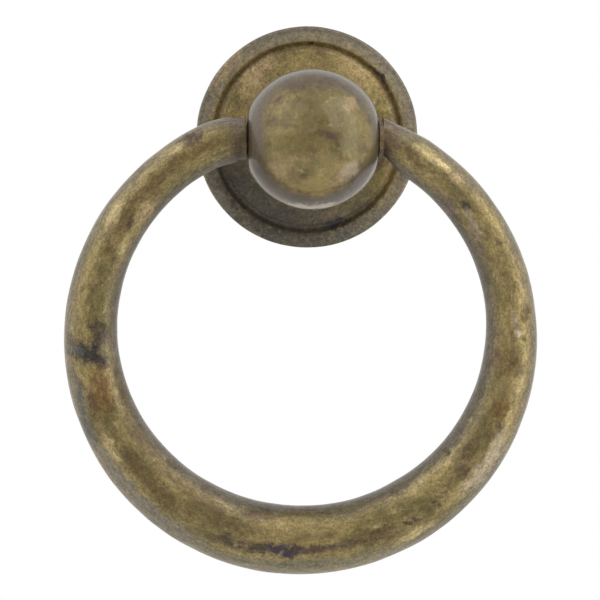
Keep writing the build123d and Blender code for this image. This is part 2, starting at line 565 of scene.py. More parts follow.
@dataclass(frozen=True)
class AgedBrass:
    """Old unlacquered brass: golden where it is rubbed, brown and grey where it has tarnished, with a painted
    grey reflection on the faces that turn away from the front.

    Attributes:
        metallic: How much of a metal it is.
        polished: Roughness where it is rubbed bright.
        dull: Roughness of the dark tarnish.
        coat: Weight of the thin waxy film that greys it at grazing angles.
        coat_roughness: Roughness of that film.
        side_reflection: How strongly a painted grey reflection shows on the faces that turn away from the
            front.
        side_reflection_tone: Colour of that painted reflection.
        side_reflection_from: Normal's Y from which a face counts as a side, -1 at the very front.
        mottle: How strongly brown clouds show.
        speckle: How strongly the sandy grain shows.
        lightness: How light the whole piece is.
        warmth: How strong its colours are.
        bend: How far noise drags the stains out of shape.
        fade: How many times its stated size a stain reaches before it has faded out.
        shallowest: Least reach of a stain into the metal, in millimetres.
        deepest: Greatest reach of a stain into the metal, in millimetres.
    """

    metallic: float = 0.72
    polished: float = 0.40
    dull: float = 0.56
    coat: float = 0.4
    coat_roughness: float = 0.2
    side_reflection: float = 0.6
    side_reflection_tone: Tone = Tone.GREY
    side_reflection_from: float = -0.75
    mottle: float = 0.55
    speckle: float = 0.25
    lightness: float = 1.0
    warmth: float = 1.08
    bend: float = 1.9 * MM
    fade: float = 1.6
    shallowest: float = 1.5
    deepest: float = 2.5

    def lay_stain_or_light(self, graph: Graph, colour: object, mark: StainOrPaintedLight, depth: float, place: object,
                ragged: object) -> object:
        """Lay one stain, rubbed place or painted light over the colours so far.

        Args:
            graph: The material being made.
            colour: The colours so far.
            mark: The stain, rubbed place or painted light.
            depth: Y of the surface at its middle.
            place: Coordinates bent by noise, so that no stain is a plain oval.
            ragged: Noise that breaks it up.

        Returns:
            The new colour's socket.
        """
        spread = graph.node("ShaderNodeTexGradient", gradient_type="SPHERICAL")
        graph.feed(spread.inputs["Vector"], place)
        inward = min(max(mark.length, mark.width, self.shallowest), self.deepest)
        spread.texture_mapping.vector_type = "TEXTURE"
        spread.texture_mapping.translation = (mark.x * MM, depth, mark.z * MM)
        spread.texture_mapping.rotation = (0, -math.radians(mark.slope), 0)
        reach = self.fade * MM
        spread.texture_mapping.scale = (mark.length * reach, inward * reach, mark.width * reach)
        frayed = graph.times(spread.outputs["Fac"], ragged)
        return graph.mix(graph.between(frayed, 0.05, 0.78, 0.0, mark.strength), colour, mark.tone)

    def material(self, name: str, stains_and_painted_light: list, depth_at: object, tarnish_and_painted_light: object = None,
                 flow: object = None) -> bpy.types.Material:
        """Make the finish.

        Args:
            name: Name of the material.
            stains_and_painted_light: Every stain, rubbed place and painted highlight, reflection or shadow on
                this piece.
            depth_at: Function that gives the front surface's Y from x and z.
            tarnish_and_painted_light: Function that gives pairs of share and tone to lay over the brass,
                tarnish and painted light and shade, or None.
            flow: Function that gives coordinates along the bar, from the graph, or None.

        Returns:
            The material.
        """
        graph = Graph(name)
        along = flow(graph) if flow is not None else graph.place
        broad = graph.noise(6 * MM, detail=4, roughness=0.6, place=along)
        middle = graph.noise(2.0 * MM, detail=5, roughness=0.65, place=along)
        fine = graph.noise(0.55 * MM, detail=4, roughness=0.75, place=along)
        warmth = graph.noise(3.4 * MM, detail=5, roughness=0.7, place=along)
        glints = graph.noise(1.3 * MM, detail=5, roughness=0.75, place=along)
        colour = graph.mix(graph.between(broad, 0.36, 0.64), Tone.GOLD, Tone.OLIVE)
        colour = graph.mix(graph.between(warmth, 0.50, 0.66, 0.0, 0.55), colour, Tone.UMBER)
        colour = graph.mix(graph.between(middle, 0.50, 0.70, 0.0, self.mottle), colour, Tone.BROWN)
        colour = graph.mix(graph.between(glints, 0.54, 0.72, 0.0, 0.6), colour, Tone.BRIGHT)
        # Painted reflection: faces that turn away from the front are greyed, as white surroundings grey them
        # at grazing angles, a little less on the back.
        facing = graph.split(graph.normal)[1]
        turned = graph.plus(facing, graph.times(middle, 0.35))
        side_reflection_share = graph.between(turned, self.side_reflection_from, self.side_reflection_from + 0.4, 0.0, self.side_reflection)
        side_reflection_share = graph.times(side_reflection_share, graph.between(turned, 0.3, 0.8, 1.0, 0.4))
        colour = graph.mix(side_reflection_share, colour, self.side_reflection_tone)
        if tarnish_and_painted_light is not None:
            for share, tone in tarnish_and_painted_light(graph):
                colour = graph.mix(share, colour, tone)
        ragged = graph.between(graph.noise(0.9 * MM, detail=5, roughness=0.75), 0.3, 0.7, 0.45, 1.55)
        bent = graph.bent(1.9 * MM, self.bend)
        for mark in stains_and_painted_light:
            depth = depth_at(mark.x * MM, mark.z * MM)
            colour = self.lay_stain_or_light(graph, colour, mark, depth, bent, ragged)
        sand = graph.noise(0.3 * MM, detail=2, roughness=0.7)
        coarse = graph.between(fine, 0.3, 0.7, 1 + self.speckle, 1 - self.speckle)
        light, dark = self.lightness * (1 + self.speckle), self.lightness * (1 - self.speckle)
        sandy = graph.between(sand, 0.3, 0.7, light, dark)
        colour = graph.lit(colour, graph.times(coarse, sandy), self.warmth)
        graph.feed(graph.shader.inputs["Base Color"], colour)
        graph.feed(graph.shader.inputs["Metallic"], self.metallic)
        lightness = graph.node("ShaderNodeRGBToBW")
        graph.feed(lightness.inputs[0], colour)
        rough = graph.between(lightness.outputs[0], 0.03, 0.35, self.dull, self.polished)
        graph.feed(graph.shader.inputs["Roughness"], rough)
        graph.shader.inputs["Coat Weight"].default_value = self.coat
        graph.shader.inputs["Coat Roughness"].default_value = self.coat_roughness
        grain = graph.plus(graph.times(fine, -0.8), middle)
        bump = graph.node("ShaderNodeBump")
        bump.inputs["Strength"].default_value = 0.4
        bump.inputs["Distance"].default_value = 0.07 * MM
        graph.feed(bump.inputs["Height"], grain)
        graph.feed(graph.shader.inputs["Normal"], bump.outputs["Normal"])
        return graph.material


@dataclass(frozen=True)
class PlatedSteel:
    """Dull zinc-plated steel of the fixing screw.

    Attributes:
        clean: Colour of the plating.
        dull: Colour where it has gone dull.
        smoothest: Roughness where it is clean.
        roughest: Roughness where it is dull.
    """

    clean: tuple = (0.46, 0.45, 0.43, 1)
    dull: tuple = (0.27, 0.255, 0.23, 1)
    smoothest: float = 0.36
    roughest: float = 0.55

    def material(self, name: str) -> bpy.types.Material:
        """Make the finish.

        Args:
            name: Name of the material.

        Returns:
            The material.
        """
        graph = Graph(name)
        cloud = graph.noise(1.8 * MM, detail=4, roughness=0.6)
        colour = graph.mix(graph.between(cloud, 0.4, 0.65), self.clean, self.dull)
        graph.feed(graph.shader.inputs["Base Color"], colour)
        graph.feed(graph.shader.inputs["Metallic"], 0.9)
        rough = graph.between(cloud, 0.3, 0.7, self.smoothest, self.roughest)
        graph.feed(graph.shader.inputs["Roughness"], rough)
        return graph.material


@dataclass
class Backplate:
    """The turned rosette: low rounded rim, dark coved groove and crowned field.

    Attributes:
        rim: Outer radius, from the frame.
        land_height: Height of the middle land, from the frame.
    """

    rim: float
    land_height: float
    hole: float = 4.0 * MM
    relief: float = 0.6 * MM
    land: float = 6.8 * MM
    field_edge: float = 11.05 * MM
    field_height: float = 2.6 * MM
    field_crown: float = 0.15 * MM
    groove_depth: float = 0.32 * MM
    rim_inside: float = 12.5 * MM
    rim_inside_height: float = 2.62 * MM
    rim_outside_height: float = 2.42 * MM
    rim_crown: float = 0.08 * MM
    rim_round: float = 0.5 * MM
    edge_chamfer: float = 0.25 * MM
    rim_land: float = 12.6 * MM
    edge_wear: float = 0.09 * MM
    sides: int = 96

    @classmethod
    def from_frame(cls) -> "Backplate":
        """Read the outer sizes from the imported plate.

        Returns:
            The plate.
        """
        low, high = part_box("backplate")
        return cls(rim=(high.x - low.x) / 2, land_height=high.y - low.y)

    def profile(self) -> list:
        """Points of radius and height round the plate's section.

        Returns:
            The closed profile, from the hole's back edge.
        """
        points = [(self.hole, self.relief), (self.hole, self.land_height), (self.land, self.land_height)]
        points += bowed(points[-1], (self.field_edge, self.field_height), self.field_crown, 6)
        for step in range(1, 13):
            share = step / 12
            radius = self.field_edge + (self.rim_inside - self.field_edge) * share
            height = self.field_height + (self.rim_inside_height - self.field_height) * share
            points += [(radius, height - self.groove_depth * (1 - math.cos(2 * math.pi * share)) / 2)]
        spring = (self.rim - self.rim_round, self.rim_outside_height - self.rim_round)
        points += bowed(points[-1], (spring[0], self.rim_outside_height), self.rim_crown, 5)
        points += arc(spring, (self.rim_round, self.rim_round), 80, 0, 5)
        points += [(self.rim, self.edge_chamfer), (self.rim - self.edge_chamfer, 0), (self.rim_land, 0)]
        points += [(self.rim_land - self.relief, self.relief), (self.hole, self.relief)]
        return points

    def depth_at(self, x: float, z: float) -> float:
        """Y of the plate's front, near enough for laying marks on it.

        Args:
            x: Place to the right; not used.
            z: Place upwards; not used.

        Returns:
            The Y.
        """
        return -self.field_height

    def stains_and_painted_light(self) -> list:
        """Stains and rubbed places, with painted highlights at the top of the field, painted light on the
        lower rim and painted shadow over the lower half.

        Returns:
            The list of them.
        """
        return [
            # Painted highlights: the light tan marks at the top of the field, where it faces the lamps.
            StainOrPaintedLight(-6.5, 8.0, 2.8, 1.3, 52, Tone.TAN, 0.8),
            StainOrPaintedLight(-10.5, 8.7, 2.8, 0.8, 55, Tone.TAN, 0.6),
            StainOrPaintedLight(6.2, 8.2, 2.2, 1.0, -50, Tone.TAN, 0.5),
            StainOrPaintedLight(9.4, 7.8, 1.2, 0.3, -50, Tone.BLACK, 0.95),
            StainOrPaintedLight(8.5, 8.8, 1.0, 0.3, -48, Tone.DARK, 0.8),
            StainOrPaintedLight(0.3, 12.4, 0.5, 0.2, 0, Tone.BLACK, 0.9),
            StainOrPaintedLight(10.0, 5.7, 1.3, 0.3, -62, Tone.RUST, 0.7),
            StainOrPaintedLight(8.8, -5.0, 1.6, 1.2, 60, Tone.OLIVE, 0.85),
            StainOrPaintedLight(8.9, -2.8, 1.8, 1.3, 0, Tone.MAUVE_DARK, 0.8),
            StainOrPaintedLight(3.7, -11.3, 2.2, 0.6, 14, Tone.BLACK, 0.95),
            StainOrPaintedLight(2.4, -10.0, 1.4, 0.6, 8, Tone.PINK, 0.7),
            # Painted light: the blue-grey mark on the lower rim.
            StainOrPaintedLight(4.8, -12.3, 1.6, 0.5, 20, Tone.BLUE, 0.85),
            # Painted shadow of the ball and the ring: the slate marks over the lower half.
            StainOrPaintedLight(-7.0, -8.7, 6.0, 3.4, -45, Tone.SLATE, 0.85),
            StainOrPaintedLight(-10.4, -5.3, 2.6, 3.9, 0, Tone.SLATE, 0.6),
            StainOrPaintedLight(-1.6, -11.2, 4.5, 2.0, -5, Tone.SLATE, 0.75),
            StainOrPaintedLight(-1.3, -13.5, 9.0, 1.6, 0, Tone.SLATE, 0.6),
            StainOrPaintedLight(-11.8, -7.4, 2.8, 0.8, -55, Tone.GREY, 0.6),
        ]

    def tarnish(self, graph: Graph) -> list:
        """Painted shadow of the ball and the ring over the lower half, a painted highlight on the rim's
        crest, a painted reflection on its outer edge, grey over the rim, and brown tarnish in the groove that
        is partly painted shade.

        Args:
            graph: The material being made.

        Returns:
            Pairs of the share of tarnish or painted light and its tone.
        """
        right, _, up = graph.split(graph.place)
        wander = graph.times(graph.noise(5 * MM, detail=4), 0.6 * MM)
        radius = graph.plus(graph.apart(right, up), wander)
        # Brown in the groove: tarnish that it holds, partly painted shade.
        inner = graph.between(radius, self.field_edge + 0.4 * MM, self.field_edge + 0.8 * MM)
        outer = graph.between(radius, self.rim_inside + 0.1 * MM, self.rim_inside - 0.3 * MM)
        groove = graph.times(graph.times(inner, outer), 0.35)
        # Painted highlight on the crest just outside the groove.
        crest = graph.between(radius, self.rim_inside, self.rim_inside + 0.4 * MM, 0.0, 0.35)
        rim = graph.between(radius, self.rim_inside + 0.5 * MM, self.rim_inside + 1.1 * MM, 0.0, 0.6)
        # Painted reflection: a dark grey band round the rounded outer edge, stronger towards the top.
        edge = graph.between(radius, self.rim - 0.9 * MM, self.rim - 0.3 * MM)
        edge = graph.times(edge, graph.between(up, -6 * MM, 6 * MM, 0.0, 0.6))
        # Painted shadow of the ball and the ring: darker towards the bottom and the left, kept off the crest.
        drift = graph.plus(up, graph.times(right, 0.35))
        drift = graph.plus(drift, graph.times(graph.noise(4 * MM, detail=5), 7 * MM))
        below = graph.between(drift, 2.5 * MM, -4.5 * MM, 0.0, 0.68)
        below = graph.times(below, graph.math("SUBTRACT", 1.0, graph.times(crest, 1.6)))
        return [(crest, Tone.PALE), (rim, Tone.GREY), (edge, Tone.ASH), (groove, Tone.MAROON),
                (below, Tone.SLATE)]

    def make(self) -> bpy.types.Object:
        """Build and dress the plate.

        Returns:
            The finished object.
        """
        work = Workpiece("backplate_worn")
        work.turn(self.profile(), Lathe.POST, Vector((0, 0, 0)), self.sides)
        work.close()
        work.break_edges(self.edge_wear)
        work.leave_edit()
        work.refine(2)
        work.roughen([Unevenness(5 * MM, 0.09 * MM), Unevenness(1.3 * MM, 0.022 * MM, 2)])
        finish = AgedBrass(side_reflection_tone=Tone.ASH, side_reflection=0.75, lightness=1.06)
        brass = finish.material("plate_brass", self.stains_and_painted_light(), self.depth_at, tarnish_and_painted_light=self.tarnish)
        return work.finish("mounting", "backplate", "plate_brass", brass)


@dataclass
class BallPost:
    """The ball with its two flats and cross hole, and the coved post that carries it.

    Attributes:
        pivot: Middle of the ball.
        radius: Radius of the ball.
        flat: Distance of each flat from the middle.
        flat_blend: Degrees of the ball's curve that its rounded edge takes up beside a flat.
    """

    pivot: Vector
    radius: float
    flat: float
    hole: float = 1.85 * MM
    mouth: float = 2.25 * MM
    flat_round: float = 0.35 * MM
    foot: float = 6.3 * MM
    foot_base: float = 3.4 * MM
    foot_top: float = 4.4 * MM
    cove: float = 5.6 * MM
    cove_end: float = 6.6 * MM
    cove_rise: float = -0.45 * MM
    neck: float = 4.2 * MM
    neck_end: float = 8.5 * MM
    spigot: float = 3.9 * MM
    spigot_end: float = 0.4 * MM
    bore: float = 2.0 * MM
    bore_end: float = 7.6 * MM
    drill_point: float = 1.0 * MM
    core: float = 0.02 * MM
    flat_inset: float = 0.05 * MM
    flat_blend: float = 3.0
    edge_wear: float = 0.12 * MM
    sides: int = 96
    foot_sides: int = 64

    @classmethod
    def from_frame(cls) -> "BallPost":
        """Read the ball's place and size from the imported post.

        Returns:
            The post.
        """
        low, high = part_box("ball_post")
        radius = (high.z - low.z) / 2
        return cls(pivot=Vector((0, low.y + radius, 0)), radius=radius, flat=high.x)

    def ball_profile(self) -> list:
        """Points of radius and distance along the pivot's line, round the ball's section.

        Returns:
            The closed profile, from the right mouth of the cross hole.
        """
        edge = math.degrees(math.acos((self.flat - self.flat_inset) / self.radius))
        chamfer = self.mouth - self.hole
        half = [(self.hole, self.flat - chamfer), (self.mouth, self.flat)]
        half += [(self.radius * math.sin(math.radians(edge)) - self.flat_round, self.flat)]
        half += arc((0, 0), (self.radius, self.radius), 90 - edge - self.flat_blend, 0, 16)
        mirrored = [(radius, -along) for radius, along in reversed(half[:-1])]
        return half + mirrored + [half[0]]

    def foot_profile(self) -> list:
        """Points of radius and height of the post below the ball.

        Returns:
            The profile, from the bottom of the tapped hole to the middle of the ball.
        """
        points = [(self.core, self.bore_end), (self.bore, self.bore_end - self.drill_point)]
        points += [(self.bore, self.spigot_end), (self.spigot, self.spigot_end)]
        points += [(self.spigot, self.foot_base), (self.foot, self.foot_base)]
        points += [(self.foot, self.foot_top), (self.cove, self.foot_top)]
        points += bowed(points[-1], (self.neck, self.cove_end), self.cove_rise, 6)
        points += [(self.neck, self.neck_end), (self.core, self.neck_end)]
        return points

    def depth_at(self, x: float, z: float) -> float:
        """Y of the ball's front.

        Args:
            x: Place to the right.
            z: Place upwards.

        Returns:
            The Y.
        """
        return self.pivot.y - math.sqrt(max(0, self.radius**2 - x**2 - z**2))

    def stains_and_painted_light(self) -> list:
        """Stains and rubbed places, with painted highlights and painted reflections.

        Returns:
            The list of them.
        """
        return [
            StainOrPaintedLight(1.6, 0.6, 2.1, 0.5, -8, Tone.MAUVE_DARK, 0.85),
            StainOrPaintedLight(-3.7, 2.0, 1.4, 0.4, -5, Tone.BROWN, 0.6),
            StainOrPaintedLight(-1.2, 7.4, 4.5, 1.3, 0, Tone.MAUVE_DARK, 0.6),
            StainOrPaintedLight(0.0, 4.4, 3.5, 1.8, 0, Tone.OLIVE, 0.5),
            # Painted reflections: the two mauve bands near the ball's edge, at the left and the lower right.
            StainOrPaintedLight(-7.2, 1.4, 4.2, 0.9, 88, Tone.MAUVE, 0.65),
            StainOrPaintedLight(5.7, -5.5, 3.0, 0.9, 42, Tone.MAUVE, 0.75),
            # Painted highlights: the tan, pale and gold marks from here down to the gold one below the
            # middle.
            StainOrPaintedLight(4.5, 4.6, 1.1, 1.0, 30, Tone.TAN, 0.7),
            StainOrPaintedLight(-4.6, -3.6, 1.4, 1.3, -50, Tone.TAN, 0.6),
            StainOrPaintedLight(4.4, -3.9, 1.4, 1.1, 42, Tone.PALE, 0.6),
            StainOrPaintedLight(2.9, -5.3, 1.6, 0.9, 25, Tone.TAN, 0.5),
            StainOrPaintedLight(0.0, -5.8, 2.6, 1.2, 0, Tone.GOLD, 0.8),
            StainOrPaintedLight(5.0, 0.6, 1.8, 2.5, 0, Tone.OLIVE, 0.75),
            StainOrPaintedLight(-1.5, -0.4, 2.6, 1.6, 0, Tone.OLIVE, 0.6),
            StainOrPaintedLight(-3.3, 3.4, 2.2, 1.8, 20, Tone.OLIVE, 0.5),
            # Painted reflection: the pale crescent along the ball's lower edge.
            StainOrPaintedLight(0.0, -8.5, 5.5, 0.5, 0, Tone.PALE, 0.7),
        ]

    def tarnish(self, graph: Graph) -> list:
        """Dirt that the ring's shoulders keep on the flats, and painted shade in a band round the lower side
        of the ball, just inside its edge as seen from the front.

        Args:
            graph: The material being made.

        Returns:
            Pairs of the share of dirt or painted shade and its tone.
        """
        right, _, up = graph.split(graph.place)
        aside = graph.math("ABSOLUTE", right)
        joint = graph.between(aside, self.flat - 0.5 * MM, self.flat - 0.1 * MM, 0.0, 0.6)
        # Painted shade: a dark band round the ball's lower side, on faces turned well away from the front.
        facing = graph.split(graph.normal)[1]
        wander = graph.times(graph.noise(3 * MM, detail=4), 0.2)
        facing = graph.plus(facing, wander)
        painted_shade_band = graph.times(graph.between(facing, -0.62, -0.45), graph.between(facing, -0.15, -0.32))
        painted_shade_band = graph.times(painted_shade_band, graph.between(up, -1 * MM, -4.5 * MM, 0.0, 0.7))
        return [(painted_shade_band, Tone.DARK), (joint, Tone.DARK)]

    def make(self) -> list:
        """Build and dress the ball and the post.

        Returns:
            The finished objects.
        """
        finish = AgedBrass(mottle=0.8, side_reflection_tone=Tone.DUSK, side_reflection=0.75, side_reflection_from=-0.62, speckle=0.11,
                           coat=0.8, coat_roughness=0.16, lightness=0.98, warmth=1.12)
        brass = finish.material("ball_brass", self.stains_and_painted_light(), self.depth_at, tarnish_and_painted_light=self.tarnish)
        ball = Workpiece("ball_worn")
        ball.turn(self.ball_profile(), Lathe.PIVOT, self.pivot, self.sides)
        ball.close()
        ball.break_edges(self.edge_wear)
        ball.leave_edit()
        ball.refine(2)
        ball.roughen([Unevenness(6 * MM, 0.07 * MM), Unevenness(1.6 * MM, 0.025 * MM, 2)])
        post = Workpiece("post_worn")
        post.turn(self.foot_profile(), Lathe.POST, Vector((0, 0, 0)), self.foot_sides)
        post.close()
        post.break_edges(self.edge_wear)
        post.leave_edit()
        post.refine(1)
        return [
            ball.finish("mounting", "ball_post", "ball_brass", brass),
            post.finish("mounting", "ball_post", "ball_brass", brass),
        ]


@dataclass
class Section:
    """One cross section of the ring.

    Attributes:
        x: Place to the right.
        z: Place upwards.
        tilt: Direction that it faces, in degrees, from +X towards +Z.
        radius: Half the bar's thickness.
        slant: How much taller it is than deep, where it cuts the bar aslant.
    """

    x: float
    z: float
    tilt: float
    radius: float
    slant: float = 1.0


@dataclass
class Ring:
    """The cast ring: an oval hoop that swells towards the bottom, with turned ends.

    Attributes:
        pivot: Depth of the ring's plane, a negative Y.
        turn_in: How fast the cuts turn from square to the pivot to square to the bar.
    """

    pivot: float
    half_width: float = 26.75 * MM
    half_height: float = 26.4 * MM
    offset: float = -1.35 * MM
    drop: float = 24.62 * MM
    mean: float = 7.03 * MM
    swell: float = 1.62 * MM
    belly: float = 0.24 * MM
    lean: float = 0.13 * MM
    straight_from: float = 14.6 * MM
    bend_from: float = -14.0 * MM
    taper_from: float = 13.0 * MM
    taper_rate: float = 0.44
    flare_from: float = -17.0 * MM
    flare_rate: float = 0.05
    right_shoulder: float = 8.95 * MM
    left_shoulder: float = -10.06 * MM
    right_collar: float = 2.3 * MM
    left_collar: float = 2.7 * MM
    collar_end: float = 8.38 * MM
    collar_root: float = 0.9 * MM
    pin: float = 1.8 * MM
    pin_tip: float = 3.4 * MM
    tip_chamfer: float = 0.3 * MM
    turn_in: float = 2.2
    edge_wear: float = 0.12 * MM
    edge_fold: float = 40.0
    sides: int = 30
    spacing: float = 0.86 * MM
    sections: list = field(default_factory=list)

    @classmethod
    def from_frame(cls) -> "Ring":
        """Read the depth of the ring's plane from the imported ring.

        Returns:
            The ring.
        """
        low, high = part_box("ring")
        return cls(pivot=(low.y + high.y) / 2)

    def hoop_angle(self, x: float) -> float:
        """Angle in degrees at which the hoop's upper half passes a place.

        Args:
            x: Place to the right.

        Returns:
            The angle from the right, anticlockwise.
        """
        across = (x - self.offset) / self.half_width
        return math.degrees(math.atan2(math.sqrt(1 - across**2), across))

    def hoop_point(self, angle: float) -> tuple:
        """Place and tilt on the hoop, which is run through clockwise.

        Args:
            angle: Angle in degrees from the right, anticlockwise.

        Returns:
            The x, z and tilt in degrees.
        """
        turn = math.radians(angle)
        x = self.offset + self.half_width * math.cos(turn)
        z = -self.drop + self.half_height * math.sin(turn)
        tilt = math.degrees(math.atan2(-self.half_height * math.cos(turn), self.half_width * math.sin(turn)))
        return x, z, tilt

    def bar_radius(self, x: float, z: float) -> float:
        """Half the bar's thickness at a place on its centre line.

        Args:
            x: Place to the right.
            z: Place upwards.

        Returns:
            The radius.
        """
        off_bottom = math.atan2(x - self.offset, -(z + self.drop))
        diameter = self.mean + self.swell * math.cos(off_bottom) + self.belly * math.cos(2 * off_bottom)
        diameter -= self.lean * math.sin(off_bottom)
        if math.cos(off_bottom) < 0 < x:
            diameter -= self.taper_rate * max(0, self.taper_from - x)
        elif math.cos(off_bottom) < 0:
            diameter += self.flare_rate * max(0, x - self.flare_from)
        return diameter / 2

    def aslant(self, x: float, z: float, run: float, tilt: float) -> Section:
        """Cut the tapered right end of the bar by a plane that isn't square to it.

        Args:
            x: Where the cut passes the centre line.
            z: Height of that place.
            run: Direction of the centre line, in degrees.
            tilt: Direction that the cut faces, in degrees.

        Returns:
            The cut, centred between its top and bottom.
        """
        radius = self.bar_radius(x, z)
        step = 0.1 * MM
        taper = (self.bar_radius(x + step, z) - radius) / step
        along, facing = math.radians(run), math.radians(tilt)
        turned = math.sin(along - facing)
        ends = []
        for side in (1, -1):
            ahead = side * radius * turned
            ahead /= math.cos(along - facing) / math.cos(along) - side * taper * turned
            edge = side * (radius + taper * ahead)
            over = ahead - edge * math.sin(along)
            above = ahead * math.tan(along) + edge * math.cos(along)
            ends.append(above * math.cos(facing) - over * math.sin(facing))
        middle, reach = (ends[0] + ends[1]) / 2, (ends[0] - ends[1]) / 2
        x -= middle * math.sin(facing)
        z += middle * math.cos(facing)
        return Section(x, z, tilt, radius, reach / radius)

    def lay_out(self) -> None:
        """Work out the sections from the right shoulder round the bottom to the left one."""
        first = self.hoop_angle(self.straight_from)
        last = self.hoop_angle(self.bend_from) - 360
        start_x, start_z, start_tilt = self.hoop_point(first)
        slope = math.tan(math.radians(start_tilt))
        run = self.straight_from - self.right_shoulder
        steps = round(run / math.cos(math.radians(start_tilt)) / self.spacing)
        for step in range(steps):
            share = step / steps
            x = self.right_shoulder + run * share
            z = start_z + slope * (x - start_x)
            self.sections.append(self.aslant(x, z, start_tilt, start_tilt * min(1, share * self.turn_in)))
        around = math.radians(first - last) * (self.half_width + self.half_height) / 2
        count = round(around / self.spacing)
        for step in range(count + 1):
            x, z, tilt = self.hoop_point(first + (last - first) * step / count)
            self.sections.append(Section(x, z, tilt, self.bar_radius(x, z)))
        end = self.sections[-1]
        steep = math.radians(end.tilt % 360)
        reach = -end.z / math.tan(steep / 2)
        bend = reach / math.sin(steep)
        level_x = end.x + reach
        steps = round((self.left_shoulder - end.x) / self.spacing)
        for step in range(1, steps + 1):
            x = end.x + (self.left_shoulder - end.x) * step / steps
            lean = math.asin((level_x - x) / bend)
            z = -bend * (1 - math.cos(lean))
            self.sections.append(Section(x, z, math.degrees(lean), self.bar_radius(x, z)))

    def all_sections(self) -> list:
        """The bar's sections with the collars and pins of both ends.

        Returns:
            The sections, from the right pin's tip to the left one's.
        """
        step = 0.05 * MM
        slim = self.pin - self.tip_chamfer
        right = [Section(self.pin_tip, 0, 0, slim), Section(self.pin_tip + self.tip_chamfer, 0, 0, self.pin)]
        right += [Section(self.collar_end - step, 0, 0, self.pin)]
        right += [Section(self.collar_end, 0, 0, self.right_collar)]
        right += [Section(self.right_shoulder - step, 0, 0, self.right_collar)]
        left = [Section(self.left_shoulder + self.collar_root, 0, 0, self.left_collar)]
        left += [Section(-self.collar_end, 0, 0, self.left_collar)]
        left += [Section(step - self.collar_end, 0, 0, self.pin)]
        left += [Section(-self.pin_tip - self.tip_chamfer, 0, 0, self.pin)]
        left += [Section(-self.pin_tip, 0, 0, slim)]
        return right + self.sections + left

    def draw(self, work: Workpiece) -> None:
        """Draw the bar out section by section.

        Args:
            work: The mesh being made.
        """
        # Smooth subdivision pulls a polygon's corners inwards, so it starts this much larger
        tightened = 6 / (4 + 2 * math.cos(2 * math.pi / self.sides))
        run = self.all_sections()
        now = run[0]
        work.start_circle(self.sides, now.radius * tightened, Vector((now.x, self.pivot, now.z)), Lathe.PIVOT)
        bpy.ops.mesh.edge_face_add()
        for following in run[1:]:
            centre = Vector((following.x, self.pivot, following.z))
            step = (following.x - now.x, 0, following.z - now.z)
            bpy.ops.mesh.extrude_region_move(TRANSFORM_OT_translate={"value": step})
            turned = (following.tilt - now.tilt + 180) % 360 - 180
            if abs(turned) > 0.01:
                bpy.ops.transform.rotate(value=math.radians(turned), orient_axis="Y", center_override=centre)
            grow = following.radius / now.radius
            lengthen = grow * following.slant / now.slant
            bpy.ops.transform.resize(value=(lengthen, grow, lengthen), center_override=centre)
            now = following

    def depth_at(self, x: float, z: float) -> float:
        """Y of the bar's front.

        Args:
            x: Place to the right.
            z: Place upwards.

        Returns:
            The Y.
        """
        nearest = min(self.sections, key=lambda section: math.hypot(section.x - x, section.z - z))
        aside = math.hypot(nearest.x - x, nearest.z - z)
        return self.pivot - math.sqrt(max(0, nearest.radius**2 - aside**2))

    def flow(self, graph: Graph) -> bpy.types.NodeSocket:
        """Coordinates that run along the bar, so that clouds on it come out long.

        Args:
            graph: The material being made.

        Returns:
            The vector's socket.
        """
        right, deep, up = graph.split(graph.place)
        across = graph.math("SUBTRACT", right, self.offset)
        down = graph.math("SUBTRACT", -self.drop, up)
        radius = graph.apart(across, down)
        angle = graph.math("ARCTAN2", across, down)
        joined = graph.node("ShaderNodeCombineXYZ")
        graph.feed(joined.inputs[0], radius)
        graph.feed(joined.inputs[1], graph.times(angle, self.half_width * 0.45))
        graph.feed(joined.inputs[2], deep)
        return joined.outputs[0]

    def tarnish(self, graph: Graph) -> list:
        """A darker grey on the side of the bar that faces the hoop's middle, and tarnish in the ring's
        joints.

        Args:
            graph: The material being made.

        Returns:
            Pairs of a share and its tone.
        """
        right, _, up = graph.split(graph.place)
        faces_right, _, faces_up = graph.split(graph.normal)
        across = graph.math("SUBTRACT", right, self.offset)
        above = graph.plus(up, self.drop)
        towards = graph.times(faces_right, across)
        towards = graph.plus(towards, graph.times(faces_up, above))
        outward = graph.math("DIVIDE", towards, graph.apart(across, above))
        wander = graph.times(graph.noise(2.5 * MM, detail=4, roughness=0.65), 0.5)
        # Darker grey where the bar faces the hoop's middle.
        inner = graph.between(graph.plus(outward, wander), -0.32, -0.68, 0.0, 0.75)
        aside = graph.math("ABSOLUTE", right)
        height = graph.math("ABSOLUTE", up)
        near = graph.between(height, 7 * MM, 4.5 * MM)
        smear = graph.plus(aside, graph.times(wander, 3 * MM))
        grubby = graph.times(near, graph.between(smear, 12.2 * MM, 10 * MM, 0.0, 0.5))
        gap = graph.times(near, graph.between(aside, 8.9 * MM, 8.4 * MM, 0.0, 0.35))
        return [(inner, Tone.ASH), (grubby, Tone.MAUVE_DARK), (gap, Tone.MAROON)]

    def stains_and_painted_light(self) -> list:
        """Stains and rubbed places, with painted highlights, a dark streak along the bottom that is partly
        painted shade, and painted light below it.

        Returns:
            The list of them.
        """
